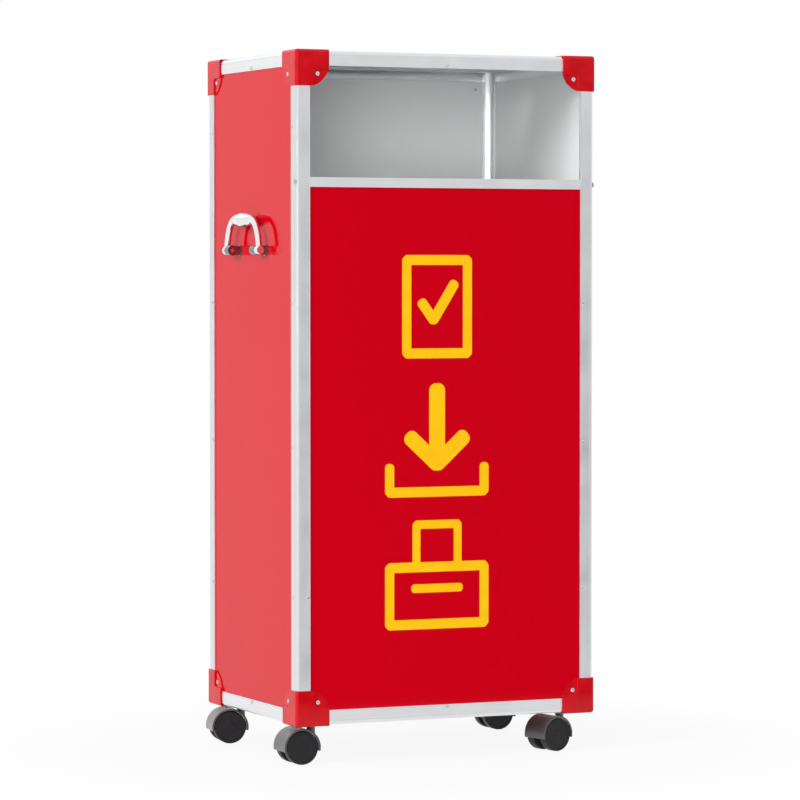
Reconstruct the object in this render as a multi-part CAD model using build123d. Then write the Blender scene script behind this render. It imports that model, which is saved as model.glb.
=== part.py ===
from build123d import *
import os

# Floor-standing ballot box on four twin-wheel casters: an aluminium frame with panels in its slots, a clear
# window at the top of the front, a slot in the top, a locked door in the back and a bail handle on each side.
# X runs along the front from left to right, Y from front to back, Z up. The origin is on the floor, under
# the middle of the box. Millimetres.

# Overall sizes
body_width = 490.0
body_depth = 360.0
body_height = 1000.0
floor_gap = 60.0               # floor to the underside of the frame

# Clearances
overrun = 1.0                  # how far a cutter runs past what it cuts
seat_clearance = 0.1           # a piece in its slot or on its seat
press_clearance = 0.02         # a pin fixed in its hole
running_clearance = 0.05       # a shaft that turns in its hole
moving_gap = 0.3               # face to face between pieces that move apart
hole_clearance = 0.2           # a fastener in its hole

# Frame extrusion
profile_leg = 22.0
profile_wall = 2.0
profile_lip = 1.6
bead_radius = 5.0
groove_width = 0.8
groove_depth = 0.5
groove_inset = 6.0             # bead groove, from the outer corner
lip_groove_inset = 2.2         # second groove, from the tip of the leg

# Panels
panel_thickness = 4.0
panel_edge_gap = 0.5           # panel edge to the bottom of its slot

# Crossbar under the window
crossbar_height = 14.5
crossbar_drop = 194.0          # its middle below the top of the frame
crossbar_web = 6.5
screw_radius = 1.75
screw_head_radius = 3.6
screw_head_height = 1.6
screw_length = 24.0

# Ballot slot in the top
slot_length = 250.0
slot_width = 15.0

# Back door
door_latch_margin = 79.0       # outer side of the frame to the opening, on the lock's side
door_opening_height = 480.0
door_opening_bottom = 120.0    # above the underside of the frame
door_side_gap = 1.0            # door flange to the tip of the post's leg
door_rim_gap = 1.5             # door edging to the opening
door_overlap = 8.0
edging_wall = 1.5
edging_flange = 1.8
edging_face = 14.0

# Butt hinges of the door
hinge_height = 40.0
hinge_reach = 18.0
hinge_leaf_thickness = 1.5
hinge_knuckle_radius = 3.2
hinge_pin_radius = 1.5
hinge_pin_head_radius = 2.4
hinge_pin_head_height = 1.5
hinge_spacing = 170.0
hinge_count = 3
hinge_clear = 0.4              # leaf to the other leaf's knuckles

# Cam lock of the door
lock_inset = 13.0              # lock centre from the edging's inner edge
lock_barrel_radius = 8.0
lock_head_radius = 10.5
lock_head_height = 2.0
lock_tail_out = 3.5            # barrel end behind the door panel
lock_nut_flats = 21.0
lock_nut_height = 3.0
lock_plug_radius = 6.0
lock_plug_recess = 0.5
lock_tail_radius = 4.0
lock_peen_radius = 5.5
lock_peen_height = 1.2
key_slot_height = 7.5
key_slot_width = 1.6
key_slot_depth = 3.0
cam_width = 14.0
cam_thickness = 1.8
cam_reach = 37.0

# Corner protectors
corner_leg = 52.0
corner_proud = 2.0
corner_band = 27.0             # the raised band over the profile
corner_web = 1.6
corner_round = 4.4
corner_step_round = 4.0
corner_plate_round = 8.0       # corner of the square plate that carries a caster
corner_rivet_inset = 34.0
corner_arc_share = 0.82        # how far out the arc's middle lies, as a share of the leg

# Blind rivets
rivet_radius = 1.9
rivet_head_radius = 3.3
rivet_head_height = 1.2
rivet_edge_height = 0.4
rivet_crown_radius = 2.1
post_rivet_inset = 18.0
post_rivet_shares = [0.19, 0.413, 0.626, 0.888]      # levels on a post, of the frame's height
rail_rivet_inset = 18.0

# Side handles
handle_drop = 294.0            # pivot below the top of the frame
handle_stand_off = 15.6        # panel face to the plane of the bail
handle_leg_spacing = 132.0
handle_bar_radius = 4.75
handle_leg_rise = 24.0
handle_leg_lean = 6.0
handle_shoulder_inset = 16.0   # from the knee towards the middle
handle_shoulder_drop = 8.0
handle_crown_rise = 52.0
handle_grip_rise = 46.0
handle_grip_radius = 11.5
handle_grip_half = 40.0
handle_grip_end_radius = 3.6
handle_eye_radius = 7.0
handle_trunnion_radius = 3.0
handle_knuckle_radius = 8.0
handle_knuckle_width = 15.0
handle_post_radius = 7.2
handle_flange_radius = 8.4
handle_flange_height = 1.2
handle_stud_radius = 3.0
handle_swage_radius = 5.5
handle_swage_height = 1.5

# Casters
stem_inset = 38.0              # stem axis from both outer faces of the frame
caster_trail = 22.0
wheel_radius = 25.0
wheel_width = 14.8
wheel_round = 1.5
wheel_rim_radius = 21.0
wheel_dish_depth = 1.0
wheel_cap_radius = 7.5
wheel_back_radius = 19.5
wheel_back_depth = 7.0
wheel_hub_radius = 7.0
wheel_bore_depth = 10.5
caster_width = 45.0
fork_web = 12.8
hood_clearance = 1.2
hood_thickness = 2.8
hood_lip_drop = 5.0
fork_hub_radius = 8.5
axle_radius = 3.0
axle_end_gap = 0.5
neck_radius = 6.4
stem_radius = 4.0
stem_depth = 30.0              # stem inside the neck
collar_radius = 8.5
collar_gap = 0.3
neck_drop = 5.3                # top of the neck under the underside of the frame
stem_nut_flats = 13.0
stem_nut_height = 6.5
stem_tip = 3.0                 # stem above its nut
swivel_rest = {"front_left": 180.0, "front_right": 195.0, "rear_left": 172.0, "rear_right": 0.0}

half_turn = 180.0              # degrees

# Places that follow from the sizes above
half_width = body_width / 2
half_depth = body_depth / 2
frame_bottom = floor_gap
frame_top = floor_gap + body_height
slot_gap = panel_thickness + 2 * seat_clearance
profile_core = profile_wall + slot_gap + profile_lip
panel_face = profile_wall + seat_clearance
panel_back = panel_face + panel_thickness
panel_edge = profile_core + panel_edge_gap
crossbar_level = frame_top - crossbar_drop
rear_face = half_depth - panel_face
door_flange_inner = rear_face + moving_gap
door_flange_outer = door_flange_inner + edging_flange
door_panel_outer = door_flange_inner - seat_clearance
door_panel_inner = door_panel_outer - panel_thickness
door_hinge_edge = half_width - profile_leg - door_side_gap
opening_right = door_hinge_edge - door_overlap
opening_left = door_latch_margin - half_width
opening_bottom = frame_bottom + door_opening_bottom
opening_top = opening_bottom + door_opening_height
opening_middle = (opening_bottom + opening_top) / 2
hinge_x = half_width - profile_leg - door_side_gap / 2
hinge_y = half_depth + hinge_knuckle_radius + moving_gap
lock_x = opening_left + door_rim_gap + edging_face + lock_inset
handle_pivot = frame_top - handle_drop
post_rivet_levels = [frame_bottom + share * body_height for share in post_rivet_shares]
fork_top = frame_bottom - neck_drop


def block(x0, x1, y0, y1, z0, z1):
    return Pos((x0 + x1) / 2, (y0 + y1) / 2, (z0 + z1) / 2) * Box(abs(x1 - x0), abs(y1 - y0), abs(z1 - z0))


def rect(x0, x1, y0, y1):
    return Pos((x0 + x1) / 2, (y0 + y1) / 2) * Rectangle(abs(x1 - x0), abs(y1 - y0))


def rod(radius, start, end):
    axis = Vector(*end) - Vector(*start)
    return extrude(Plane(origin=start, z_dir=axis) * Circle(radius), axis.length)


def turned(points, close=True):
    return revolve(make_face(Plane.XZ * Polyline(*points, close=close)), Axis.Z)


def hexagon(flats, height):
    return extrude(RegularPolygon(flats / 2, 6, major_radius=False), height)


def save(name, shapes):
    shape = Compound(shapes) if isinstance(shapes, list) else shapes
    export_step(shape, "parts/" + name + ".step")


# Frame extrusion: a hollow bead along the outer corner, two outer legs and two inner lips with a slot
# between them for a panel on each side. The corner is at the origin and the legs lie along +X and +Y.
def edge_section():
    slot_far = profile_wall + slot_gap
    shape = rect(0, profile_leg, 0, profile_wall) + rect(0, profile_wall, 0, profile_leg)
    shape += rect(0, profile_core, 0, profile_core)
    shape += rect(0, profile_leg, slot_far, profile_core) + rect(slot_far, profile_core, 0, profile_leg)
    shape -= rect(profile_wall, slot_far, profile_wall, slot_far)
    shape = fillet(shape.vertices().sort_by_distance((0, 0, 0))[0], bead_radius)
    for place in (groove_inset, profile_leg - lip_groove_inset):
        shape -= rect(place, place + groove_width, -overrun, groove_depth)
        shape -= rect(-overrun, groove_depth, place, place + groove_width)
    return shape


def edge_bar(corner, inward_a, inward_b, length):
    along = Vector(*inward_a).cross(Vector(*inward_b))
    place = Plane(origin=corner, x_dir=inward_a, z_dir=along)
    return place * Pos(0, 0, -length / 2) * extrude(edge_section(), length)


def post(side, end):
    corner = (side * half_width, end * half_depth, (frame_bottom + frame_top) / 2)
    bar = edge_bar(corner, (-side, 0, 0), (0, -end, 0), body_height)
    if end < 0:
        bar -= screw_cutter(side)
    return bar - rivet_cutters()


def long_rail(end, top):
    corner = (0, end * half_depth, frame_top if top > 0 else frame_bottom)
    bar = edge_bar(corner, (0, -end, 0), (0, 0, -top), body_width - 2 * profile_leg)
    return bar - rivet_cutters()


def short_rail(side, top):
    corner = (side * half_width, 0, frame_top if top > 0 else frame_bottom)
    bar = edge_bar(corner, (-side, 0, 0), (0, 0, -top), body_depth - 2 * profile_leg)
    return bar - rivet_cutters()


# Crossbar between the front panel and the window: an H section whose web runs on into the posts' slots
def crossbar():
    front = -half_depth
    outer_end = half_width - profile_leg
    web_end = half_width - profile_core - seat_clearance
    low = crossbar_level - crossbar_height / 2
    high = crossbar_level + crossbar_height / 2
    web_low = crossbar_level - crossbar_web / 2
    web_high = crossbar_level + crossbar_web / 2
    back = front + profile_wall + slot_gap
    shape = block(-outer_end, outer_end, front, front + profile_wall, low, high)
    shape += block(-outer_end, outer_end, back, back + profile_lip, low, high)
    shape += block(-outer_end, outer_end, front, back + profile_lip, web_low, web_high)
    web_front = front + panel_face
    shape += block(-web_end, web_end, web_front, web_front + panel_thickness, web_low, web_high)
    for side in (-1, 1):
        shape -= rod(screw_radius + press_clearance, *screw_line(side, overrun))
    return shape


def screw_line(side, extra):
    y = -half_depth + panel_face + panel_thickness / 2
    start = (side * (half_width + extra), y, crossbar_level)
    end = (side * (half_width - screw_length - extra), y, crossbar_level)
    return start, end


def screw_cutter(side):
    return rod(screw_radius + hole_clearance, *screw_line(side, overrun))


def crossbar_screws():
    screws = []
    for side in (-1, 1):
        start, end = screw_line(side, 0)
        head = (side * (half_width + screw_head_height), start[1], start[2])
        screw = rod(screw_radius, start, end) + rod(screw_head_radius, start, head)
        screws.append(chamfer(screw.edges().group_by(Axis.X)[0 if side < 0 else -1], screw_head_height / 2))
    return screws


# Panels that stand in the slots of the frame
def side_panel(side):
    outer = side * (half_width - panel_face)
    inner = side * (half_width - panel_back)
    edge = half_depth - panel_edge
    shape = block(outer, inner, -edge, edge, frame_bottom + panel_edge, frame_top - panel_edge)
    for place in (-1, 1):
        shape -= rod(handle_stud_radius + hole_clearance, *stud_line(side, place, overrun))
    return shape - rivet_cutters()


def front_plate(low, high):
    front = -half_depth + panel_face
    edge = half_width - panel_edge
    return block(-edge, edge, front, front + panel_thickness, low, high) - rivet_cutters()


def front_panel():
    return front_plate(frame_bottom + panel_edge, crossbar_level - crossbar_web / 2 - panel_edge_gap)


def window_pane():
    return front_plate(crossbar_level + crossbar_web / 2 + panel_edge_gap, frame_top - panel_edge)


def rear_panel():
    edge = half_width - panel_edge
    shape = block(-edge, edge, rear_face - panel_thickness, rear_face,
                  frame_bottom + panel_edge, frame_top - panel_edge)
    shape -= block(opening_left, opening_right, rear_face - panel_thickness - overrun, rear_face + overrun,
                   opening_bottom, opening_top)
    return shape - rivet_cutters()


def flat_panel(outer, inner):
    x = half_width - panel_edge
    y = half_depth - panel_edge
    return block(-x, x, -y, y, outer, inner)


def top_panel():
    shape = flat_panel(frame_top - panel_face, frame_top - panel_back)
    cutter = extrude(SlotOverall(slot_length, slot_width), panel_thickness + 2 * overrun)
    shape -= Pos(0, 0, frame_top - panel_back - overrun) * cutter
    return shape - rivet_cutters()


def base_panel():
    shape = flat_panel(frame_bottom + panel_face, frame_bottom + panel_back)
    for x, y in stem_places().values():
        shape -= rod(stem_radius + hole_clearance, (x, y, frame_bottom), (x, y, frame_bottom + panel_back + overrun))
    return shape


# Corner protectors, in a frame whose axes run inwards from the corner of the box
def corner_face(square):
    reach = corner_leg
    low = -corner_proud
    inner = panel_face - seat_clearance
    if square:
        outline = rect(low, reach, low, reach)
        far = outline.vertices().sort_by_distance((reach, reach, 0))[0]
        outline = fillet(far, corner_plate_round)
    else:
        middle = corner_arc_share * reach
        sides = Polyline((corner_band, reach), (low, reach), (low, low), (reach, low), (reach, corner_band))
        outline = make_face(sides + ThreePointArc((reach, corner_band), (middle, middle), (corner_band, reach)))
    shape = Pos(0, 0, low) * extrude(outline, inner - low)
    recess = rect(corner_band, reach + overrun, corner_band, reach + overrun)
    recess = fillet(recess.vertices().sort_by_distance((0, 0, 0))[0], corner_step_round)
    web_outer = inner - corner_web
    shape -= Pos(0, 0, low - overrun) * extrude(recess, web_outer - low + overrun)
    clear = profile_leg + hole_clearance
    under = -seat_clearance
    far_end = reach + overrun
    shape -= block(under, clear, under, far_end, under, inner + overrun)
    shape -= block(under, far_end, under, clear, under, inner + overrun)
    return shape


def corner_protector(side, end, top):
    upright = Plane(origin=(0, 0, 0), x_dir=(0, 1, 0), z_dir=(1, 0, 0))
    across = Plane(origin=(0, 0, 0), x_dir=(0, 0, 1), z_dir=(0, 1, 0))
    shape = corner_face(top < 0) + upright * corner_face(False) + across * corner_face(False)
    outer = [edge for edge in shape.edges() if is_outer_edge(edge)]
    shape = fillet(outer, corner_round)
    corner = (side * half_width, end * half_depth, frame_top if top > 0 else frame_bottom)
    along_x = (-side, 0, 0)
    along_y = (0, -end, 0)
    if side * end == -top:
        place = Plane(origin=corner, x_dir=along_x, z_dir=(0, 0, -top))
    else:
        place = Plane(origin=corner, x_dir=along_y, z_dir=(0, 0, -top))
    shape = place * shape
    if top < 0:
        x, y = side * (half_width - stem_inset), end * (half_depth - stem_inset)
        shape -= rod(stem_radius + hole_clearance, (x, y, frame_bottom - corner_proud), (x, y, frame_bottom + panel_face))
    return shape - rivet_cutters()


def is_outer_edge(edge):
    near = 0
    for value in edge.center():
        near += abs(value + corner_proud) < seat_clearance
    return near >= 2


# Blind rivets: a list of head places and the direction in which each head faces
def rivet_places():
    places = []
    inset = corner_rivet_inset
    web = panel_face - seat_clearance - corner_web
    for side in (-1, 1):
        for end in (-1, 1):
            x, y = side * (half_width - inset), end * (half_depth - inset)
            places.append(((x, y, frame_top - web), (0, 0, 1)))
            for level in (frame_top - inset, frame_bottom + inset):
                places.append(((x, end * (half_depth - web), level), (0, end, 0)))
                places.append(((side * (half_width - web), y, level), (side, 0, 0)))
            for level in post_rivet_levels:
                y = end * (half_depth - post_rivet_inset)
                places.append(((side * half_width, y, level), (side, 0, 0)))
        for level in (frame_bottom + rail_rivet_inset, frame_top - rail_rivet_inset):
            places.append(((side * half_width, 0, level), (side, 0, 0)))
    x = half_width - post_rivet_inset
    places.append(((-x, -half_depth, post_rivet_levels[0]), (0, -1, 0)))
    for level in post_rivet_levels[:3]:
        places.append(((x, -half_depth, level), (0, -1, 0)))
    for level in (frame_bottom + rail_rivet_inset, frame_top - rail_rivet_inset):
        places.append(((0, -half_depth, level), (0, -1, 0)))
    return places


def rivet_cutters():
    cutters = []
    for place, facing in rivet_places():
        out = Vector(*facing)
        depth = rivet_depth(place, facing)
        start = Vector(*place) + out * overrun
        end = Vector(*place) - out * depth
        cutters.append(rod(rivet_radius + hole_clearance, tuple(start), tuple(end)))
    return cutters


# A rivet ends at the inner face of the panel that it holds
def rivet_depth(place, facing):
    if facing[0]:
        return abs(place[0]) - (half_width - panel_back)
    if facing[1]:
        return abs(place[1]) - (half_depth - panel_back)
    return place[2] - (frame_top - panel_back)


def blind_rivets():
    rivets = []
    for place, facing in rivet_places():
        depth = rivet_depth(place, facing)
        shape = turned([(0, -depth), (rivet_radius, -depth), (rivet_radius, 0), (rivet_head_radius, 0),
                        (rivet_head_radius, rivet_edge_height), (rivet_crown_radius, rivet_head_height),
                        (0, rivet_head_height)])
        rivets.append(Plane(origin=place, z_dir=facing) * shape)
    return rivets


# Back door: a panel in an aluminium edging whose outer flange laps over the rear panel
def frame_ring(x0, x1, z0, z1, width, y0, y1):
    ring = block(x0, x1, y0, y1, z0, z1)
    return ring - block(x0 + width, x1 - width, y0 - overrun, y1 + overrun, z0 + width, z1 - width)


def door_edging():
    left, right = opening_left + door_rim_gap, opening_right - door_rim_gap
    low, high = opening_bottom + door_rim_gap, opening_top - door_rim_gap
    lap = door_rim_gap + door_overlap
    back = door_panel_inner - seat_clearance
    shape = frame_ring(left - lap, right + lap, low - lap, high + lap, lap + edging_face,
                       door_flange_inner, door_flange_outer)
    shape += frame_ring(left, right, low, high, edging_wall, back - edging_wall, door_flange_outer)
    shape += frame_ring(left, right, low, high, edging_face, back - edging_wall, back)
    return shape


def door_panel():
    edge = door_rim_gap + edging_wall + seat_clearance
    shape = block(opening_left + edge, opening_right - edge, door_panel_inner, door_panel_outer,
                  opening_bottom + edge, opening_top - edge)
    return shape - lock_rod(lock_barrel_radius + hole_clearance, door_panel_inner - overrun,
                            door_panel_outer + overrun)


def hinge_levels():
    first = opening_middle - hinge_spacing * (hinge_count - 1) / 2
    return [first + hinge_spacing * index for index in range(hinge_count)]


def hinge_leaf(side, level, own, other, bore):
    shape = block(hinge_x + side * (hinge_knuckle_radius + hinge_clear), hinge_x + side * hinge_reach,
                  half_depth, half_depth + hinge_leaf_thickness, level - hinge_height / 2, level + hinge_height / 2)
    for low, high in own:
        shape += block(hinge_x + side * hinge_clear, hinge_x + side * hinge_reach,
                       half_depth, half_depth + hinge_leaf_thickness, level + low, level + high)
        shape += rod(hinge_knuckle_radius, (hinge_x, hinge_y, level + low), (hinge_x, hinge_y, level + high))
    for low, high in other:
        shape -= rod(hinge_knuckle_radius + hinge_clear, (hinge_x, hinge_y, level + low),
                     (hinge_x, hinge_y, level + high))
    half = hinge_height / 2 + overrun
    return shape - rod(bore, (hinge_x, hinge_y, level - half), (hinge_x, hinge_y, level + half))


def knuckle_spans():
    half = hinge_height / 2
    split = half / 3
    outer = [(-half, -split - moving_gap / 2), (split + moving_gap / 2, half)]
    middle = [(-split + moving_gap / 2, split - moving_gap / 2)]
    return outer, middle


def hinge_frame_leaves():
    outer, middle = knuckle_spans()
    return [hinge_leaf(1, level, outer, middle, hinge_pin_radius + press_clearance) for level in hinge_levels()]


def hinge_door_leaves():
    outer, middle = knuckle_spans()
    return [hinge_leaf(-1, level, middle, outer, hinge_pin_radius + running_clearance)
            for level in hinge_levels()]


def hinge_pins():
    pins = []
    half = hinge_height / 2
    for level in hinge_levels():
        pin = rod(hinge_pin_radius, (hinge_x, hinge_y, level - half), (hinge_x, hinge_y, level + half))
        for way in (-1, 1):
            start = level + way * half
            pin += rod(hinge_pin_head_radius, (hinge_x, hinge_y, start),
                       (hinge_x, hinge_y, start + way * hinge_pin_head_height))
        pins.append(pin)
    return pins


# Cam lock: a threaded body clamped by a nut, and a plug that turns the cam behind the rear panel
def lock_rod(radius, y0, y1):
    return rod(radius, (lock_x, y0, opening_middle), (lock_x, y1, opening_middle))


def lock_body():
    end = door_panel_inner - lock_tail_out
    outer = door_panel_outer + lock_head_height
    shape = lock_rod(lock_barrel_radius, end, door_panel_outer)
    head = lock_rod(lock_head_radius, door_panel_outer, outer)
    head = chamfer(head.edges().group_by(Axis.Y)[-1], lock_head_height / 3)
    return shape + head - lock_rod(lock_plug_radius + running_clearance, end - overrun, outer + overrun)


def lock_nut():
    shape = Plane(origin=(lock_x, door_panel_inner, opening_middle), z_dir=(0, -1, 0)) * hexagon(
        lock_nut_flats, lock_nut_height)
    return shape - lock_rod(lock_barrel_radius + press_clearance, door_panel_inner - lock_nut_height - overrun,
                            door_panel_inner + overrun)


def cam_face():
    return door_panel_inner - lock_tail_out - moving_gap


def lock_plug():
    outer = door_panel_outer + lock_head_height - lock_plug_recess
    shape = lock_rod(lock_plug_radius, cam_face(), outer)
    shape += lock_rod(lock_tail_radius, cam_face() - cam_thickness, cam_face())
    shape += lock_rod(lock_peen_radius, cam_face() - cam_thickness - lock_peen_height, cam_face() - cam_thickness)
    half_height, half_slot = key_slot_height / 2, key_slot_width / 2
    return shape - block(lock_x - half_slot, lock_x + half_slot, outer - key_slot_depth, outer + overrun,
                         opening_middle - half_height, opening_middle + half_height)


def lock_cam():
    back = cam_face() - cam_thickness
    half = cam_width / 2
    shape = block(lock_x - half, lock_x + half, back, cam_face(), opening_middle - cam_reach + half, opening_middle)
    shape += lock_rod(half, back, cam_face())
    end = opening_middle - cam_reach + half
    shape += rod(half, (lock_x, back, end), (lock_x, cam_face(), end))
    return shape - lock_rod(lock_tail_radius + press_clearance, back - overrun, cam_face() + overrun)


# Side handles: a cast bail with a swollen grip, whose trunnions turn in two posts
def stud_line(side, place, extra):
    y, z = place * post_offset(), handle_pivot
    return (side * (half_width - panel_face + extra), y, z), (side * (half_width - panel_back - extra), y, z)


# The legs of the bail lean inwards, so its eyes reach in as far as a leg does beside the knuckle
def eye_inner():
    lean = handle_leg_lean * handle_knuckle_radius / handle_leg_rise
    return handle_leg_spacing / 2 - handle_bar_radius - lean


def post_offset():
    return eye_inner() - moving_gap - handle_knuckle_width / 2


def bail_plane(side):
    return side * (half_width - panel_face + handle_stand_off)


def handle_post(side, place):
    x = bail_plane(side)
    y, z = place * post_offset(), handle_pivot
    surface = side * (half_width - panel_face)
    inside = side * (half_width - panel_back)
    half = handle_knuckle_width / 2
    shape = rod(handle_post_radius, (surface, y, z), (x, y, z))
    shape += rod(handle_flange_radius, (surface, y, z), (surface + side * handle_flange_height, y, z))
    knuckle = rod(handle_knuckle_radius, (x, y - half, z), (x, y + half, z))
    shape += chamfer(knuckle.edges(), handle_flange_height / 2)
    shape += rod(handle_stud_radius, (surface, y, z), (inside, y, z))
    shape += rod(handle_swage_radius, (inside, y, z), (inside - side * handle_swage_height, y, z))
    bore = handle_trunnion_radius + running_clearance
    return shape - rod(bore, (x, y - half - overrun, z), (x, y + half + overrun, z))


# One smooth curve over foot, knee, shoulder and crown, and down again on the other side
def bail_bar(upright):
    foot = handle_leg_spacing / 2
    knee = foot - handle_leg_lean
    shoulder = (knee - handle_shoulder_inset, handle_crown_rise - handle_shoulder_drop)
    half = [(foot, 0), (knee, handle_leg_rise), shoulder]
    points = half + [(0, handle_crown_rise)] + [(-reach, rise) for reach, rise in reversed(half)]
    edge = (upright * Spline(*points)).edges()[0]
    section = Plane(origin=edge.position_at(0), z_dir=edge.tangent_at(0)) * Circle(handle_bar_radius)
    return sweep(section, path=edge)


def bail(side):
    foot = handle_leg_spacing / 2
    upright = Plane(origin=(0, 0, 0), x_dir=(0, 1, 0), z_dir=(1, 0, 0))
    shape = bail_bar(upright)
    grip = Polyline((-handle_grip_half, handle_grip_end_radius), (-handle_grip_half, 0), (handle_grip_half, 0),
                    (handle_grip_half, handle_grip_end_radius))
    swell = ThreePointArc((-handle_grip_half, handle_grip_end_radius), (0, handle_grip_radius),
                          (handle_grip_half, handle_grip_end_radius))
    solid = revolve(make_face(grip + swell), Axis.X)
    shape += upright * Pos(0, handle_grip_rise, 0) * solid
    inner = eye_inner()
    tip = inner - moving_gap - handle_knuckle_width
    for way in (-1, 1):
        outer = foot + handle_bar_radius
        shape += rod(handle_eye_radius, (0, way * inner, 0), (0, way * outer, 0))
        shape += rod(handle_trunnion_radius, (0, way * tip, 0), (0, way * inner, 0))
    return Pos(bail_plane(side), 0, handle_pivot) * shape


# Casters, with the stem's axis at the origin and the axle at -X
def caster_fork():
    axle_height = wheel_radius
    inner = wheel_radius + hood_clearance
    outer = inner + hood_thickness
    half = caster_width / 2
    low = axle_height - hood_lip_drop
    axle = (-caster_trail, 0, axle_height)
    hood = across_rod(outer, half) - across_rod(inner, half + overrun)
    web = across_rod(inner + hood_thickness / 2, fork_web / 2)
    shape = hood + web
    shape -= block(-caster_trail - outer - overrun, outer, -half - overrun, half + overrun, -outer, low)
    shape += across_rod(fork_hub_radius, fork_web / 2)
    shape += rod(neck_radius, (0, 0, low), (0, 0, fork_top))
    shape -= rod(stem_radius + running_clearance, (0, 0, fork_top - stem_depth - moving_gap), (0, 0, fork_top + overrun))
    return shape - across_rod(axle_radius + press_clearance, half)


def across_rod(radius, half):
    return rod(radius, (-caster_trail, -half, wheel_radius), (-caster_trail, half, wheel_radius))


def wheel_inner():
    return caster_width / 2 - moving_gap - wheel_width


def caster_wheel(way):
    edge = wheel_radius - wheel_round
    face = wheel_width - wheel_dish_depth
    bore = axle_radius + running_clearance
    shape = turned([(bore, 0), (wheel_hub_radius, 0), (wheel_hub_radius, wheel_back_depth),
                    (wheel_back_radius, wheel_back_depth), (wheel_back_radius, 0), (edge, 0),
                    (wheel_radius, wheel_round), (wheel_radius, wheel_width - wheel_round), (edge, wheel_width),
                    (wheel_rim_radius, wheel_width), (wheel_rim_radius, face), (wheel_cap_radius, face),
                    (wheel_cap_radius, wheel_width), (0, wheel_width), (0, wheel_bore_depth),
                    (bore, wheel_bore_depth)])
    place = Plane(origin=(-caster_trail, way * wheel_inner(), wheel_radius), z_dir=(0, way, 0))
    return place * shape


def caster_axle():
    return across_rod(axle_radius, wheel_inner() + wheel_bore_depth - axle_end_gap)


def stem_places():
    places = {}
    for end_name, end in (("front", -1), ("rear", 1)):
        for side_name, side in (("left", -1), ("right", 1)):
            x = side * (half_width - stem_inset)
            places[end_name + "_" + side_name] = (x, end * (half_depth - stem_inset))
    return places


def caster_stem(x, y):
    seat = frame_bottom + panel_face - seat_clearance - corner_web
    nut_top = frame_bottom + panel_back + stem_nut_height
    shape = rod(stem_radius, (x, y, fork_top - stem_depth), (x, y, nut_top + stem_tip))
    return shape + rod(collar_radius, (x, y, fork_top + collar_gap), (x, y, seat))


def caster_nut(x, y):
    low = frame_bottom + panel_back
    shape = Pos(x, y, low) * hexagon(stem_nut_flats, stem_nut_height)
    return shape - rod(stem_radius + press_clearance, (x, y, low - overrun), (x, y, low + stem_nut_height + overrun))


def build_frame():
    for end_name, end in (("front", -1), ("rear", 1)):
        for side_name, side in (("left", -1), ("right", 1)):
            save("post_" + end_name + "_" + side_name, post(side, end))
            for top_name, top in (("top", 1), ("bottom", -1)):
                save("corner_" + top_name + "_" + end_name + "_" + side_name, corner_protector(side, end, top))
    for top_name, top in (("top", 1), ("bottom", -1)):
        for end_name, end in (("front", -1), ("rear", 1)):
            save("rail_" + top_name + "_" + end_name, long_rail(end, top))
        for side_name, side in (("left", -1), ("right", 1)):
            save("rail_" + top_name + "_" + side_name, short_rail(side, top))
    save("crossbar", crossbar())
    save("crossbar_screws", crossbar_screws())
    save("blind_rivets", blind_rivets())


def build_panels():
    save("front_panel", front_panel())
    save("window_pane", window_pane())
    save("left_panel", side_panel(-1))
    save("right_panel", side_panel(1))
    save("rear_panel", rear_panel())
    save("top_panel", top_panel())
    save("base_panel", base_panel())


def build_door():
    save("door_panel", door_panel())
    save("door_edging", door_edging())
    save("hinge_frame_leaves", hinge_frame_leaves())
    save("hinge_door_leaves", hinge_door_leaves())
    save("hinge_pins", hinge_pins())
    save("lock_body", lock_body())
    save("lock_nut", lock_nut())
    save("lock_plug", lock_plug())
    save("lock_cam", lock_cam())


def build_handles():
    save("handle_posts", [handle_post(side, place) for side in (-1, 1) for place in (-1, 1)])
    save("handle_bail_left", bail(-1))
    save("handle_bail_right", bail(1))


def build_casters():
    places = stem_places()
    fork = caster_fork()
    axle = caster_axle()
    wheels = {"a": caster_wheel(-1), "b": caster_wheel(1)}
    for name, (x, y) in places.items():
        # at a swivel of 180 degrees the wheels trail towards -X, as they are built
        place = Pos(x, y, 0) * Rot(0, 0, swivel_rest[name] - half_turn)
        save("caster_fork_" + name, place * fork)
        save("caster_axle_" + name, place * axle)
        for letter, wheel in wheels.items():
            save("wheel_" + name + "_" + letter, place * wheel)
    save("caster_stems", [caster_stem(x, y) for x, y in places.values()])
    save("caster_nuts", [caster_nut(x, y) for x, y in places.values()])


os.makedirs("parts", exist_ok=True)
build_frame()
build_panels()
build_door()
build_handles()
build_casters()
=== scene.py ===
import math
import bmesh
import bpy
from mathutils import Matrix, Vector


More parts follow.
